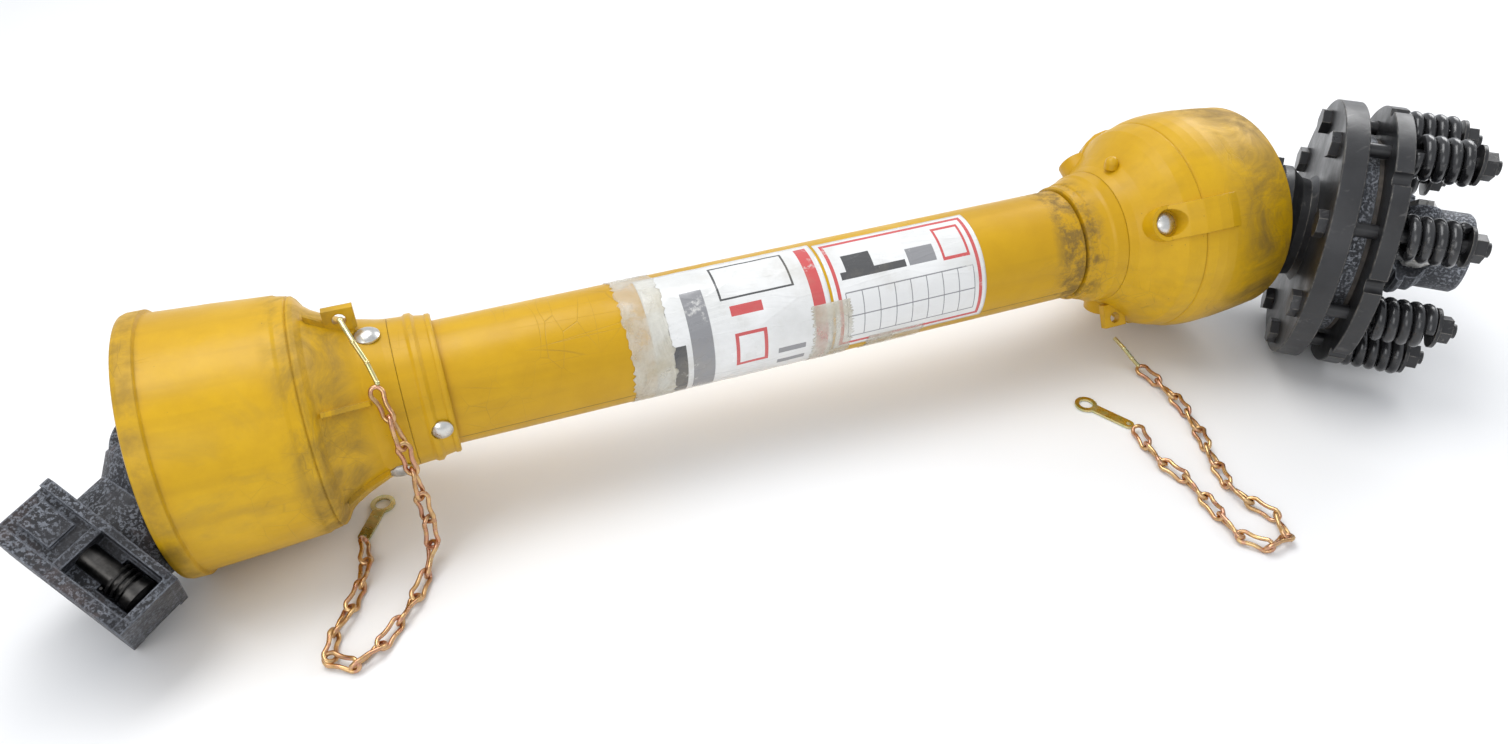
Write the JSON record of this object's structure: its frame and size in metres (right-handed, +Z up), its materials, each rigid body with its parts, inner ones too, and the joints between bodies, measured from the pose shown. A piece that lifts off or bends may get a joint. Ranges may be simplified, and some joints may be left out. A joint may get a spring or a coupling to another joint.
{
  "type": "universal joint shaft",
  "caption": "Telescopic drive shaft with two cross joints, a rotating plastic guard with retaining chains, a quick release yoke and a spring loaded friction clutch.",
  "frame": {"origin": "centre of the bounding box, on the ground plane", "axes": "+X from the quick release yoke toward the clutch, +Z up, shaft lying on the ground as stored"},
  "size_m": [1.0208, 0.3314, 0.192],
  "materials": {
    "yellow_guard": "worn glossy",
    "nylon": "matt",
    "cast_yoke": "painted casting",
    "black_paint": "semi gloss",
    "black_steel": "gloss",
    "bright_steel": "ground",
    "ring_steel": "phosphated",
    "zinc": "zinc plated",
    "chain_steel": "yellow zinc plated",
    "brass_fitting": "turned",
    "seal_rubber": "matt",
    "lining": "pressed fibre",
    "paper": "film over paper"
  },
  "bodies": {
    "outer_shaft": {"outer_drive_tube": "bright_steel", "tractor_tube_yoke": "cast_yoke", "tractor_roll_pin": "bright_steel", "tractor_cups_a": "bright_steel", "tractor_needles_a": "bright_steel", "tractor_rings_a": "ring_steel"},
    "tractor_cross": {"tractor_spider": "bright_steel", "tractor_seals": "seal_rubber", "tractor_nipple": "brass_fitting"},
    "tractor_yoke": {"quick_release_yoke": "cast_yoke", "tractor_cups_b": "bright_steel", "tractor_needles_b": "bright_steel", "tractor_rings_b": "ring_steel", "release_spring": "zinc"},
    "release_pin": {"release_pin": "zinc"},
    "guard_outer": {"guard_tube": "yellow_guard", "tractor_bell": "yellow_guard", "tractor_collar": "yellow_guard", "tractor_bearing_ring": "nylon", "tractor_bell_screws": "zinc", "tractor_collar_screw": "zinc", "paper_wrap": "paper", "rating_label": "paper"},
    "tractor_chain": {"tractor_chain_hook": "chain_steel", "tractor_chain": "chain_steel", "tractor_chain_clip": "chain_steel"},
    "inner_shaft": {"inner_drive_tube": "bright_steel", "implement_tube_yoke": "cast_yoke", "implement_roll_pin": "bright_steel", "implement_cups_a": "bright_steel", "implement_needles_a": "bright_steel", "implement_rings_a": "ring_steel"},
    "guard_inner": {"guard_inner_tube": "yellow_guard", "implement_bell": "yellow_guard", "implement_collar": "yellow_guard", "implement_bearing_ring": "nylon", "implement_bell_screws": "zinc", "implement_bell_plug": "yellow_guard"},
    "implement_chain": {"implement_chain_hook": "chain_steel", "implement_chain": "chain_steel", "implement_chain_clip": "chain_steel"},
    "implement_cross": {"implement_spider": "bright_steel", "implement_seals": "seal_rubber", "implement_nipple": "brass_fitting"},
    "clutch_drive": {"clutch_flange_yoke": "black_paint", "clutch_cups_b": "bright_steel", "clutch_needles_b": "bright_steel", "clutch_rings_b": "ring_steel", "clutch_bush": "brass_fitting", "pressure_plate": "black_paint", "clutch_bolts": "black_steel", "clutch_springs": "black_steel", "clutch_nuts": "black_steel"},
    "clutch_hub": {"clutch_hub": "black_paint", "friction_linings": "lining", "hub_clamp_bolt": "zinc", "hub_clamp_nut": "zinc"}
  },
  "joints": [
    {"name": "tractor_cross_hinge", "type": "hinge", "parent": "outer_shaft", "child": "tractor_cross", "pos_m": [-0.37978, 0.08471, 0.08226], "axis": [-0.0141, -0.6947, 0.7192], "range_deg": [-72.6, 0]},
    {"name": "tractor_yoke_hinge", "type": "hinge", "parent": "tractor_cross", "child": "tractor_yoke", "pos_m": [-0.37978, 0.08471, 0.08226], "axis": [0.6028, -0.5798, -0.5482], "range_deg": [0, 27]},
    {"name": "release_pin_slide", "type": "slide", "parent": "tractor_yoke", "child": "release_pin", "axis": [-0.6028, 0.5798, 0.5482], "range_m": [0, 0.005], "stiffness_N_per_m": 1500, "springref_m": -0.004, "deforming": ["release_spring"]},
    {"name": "guard_spin", "type": "hinge", "parent": "outer_shaft", "child": "guard_outer", "pos_m": [-0.37978, 0.08471, 0.08226], "axis": [0.9998, 0, 0.0195], "continuous": true},
    {"name": "tractor_chain_hinge", "type": "hinge", "parent": "guard_outer", "child": "tractor_chain", "pos_m": [-0.30781, 0.08871, 0.1432], "axis": [0.9998, 0, 0.0195], "range_deg": [-20, 0]},
    {"name": "shaft_slide", "type": "slide", "parent": "outer_shaft", "child": "inner_shaft", "axis": [0.9998, 0, 0.0195], "range_m": [0, 0.2]},
    {"name": "implement_guard_spin", "type": "hinge", "parent": "inner_shaft", "child": "guard_inner", "pos_m": [0.32308, 0.08471, 0.096], "axis": [0.9998, 0, 0.0195], "continuous": true},
    {"name": "implement_chain_hinge", "type": "hinge", "parent": "guard_inner", "child": "implement_chain", "pos_m": [0.23419, 0.04571, 0.023], "axis": [0.9998, 0, 0.0195], "range_deg": [-25, 0]},
    {"name": "implement_cross_hinge", "type": "hinge", "parent": "inner_shaft", "child": "implement_cross", "pos_m": [0.32308, 0.08471, 0.096], "axis": [-0.0141, -0.6947, 0.7192], "range_deg": [0, 63.4]},
    {"name": "clutch_yoke_hinge", "type": "hinge", "parent": "implement_cross", "child": "clutch_drive", "pos_m": [0.32308, 0.08471, 0.096], "axis": [0.5136, 0.6121, 0.6013], "range_deg": [0, 51.7]},
    {"name": "clutch_slip", "type": "hinge", "parent": "clutch_drive", "child": "clutch_hub", "pos_m": [0.32308, 0.08471, 0.096], "axis": [0.766, -0.6428, 0], "continuous": true}
  ]
}
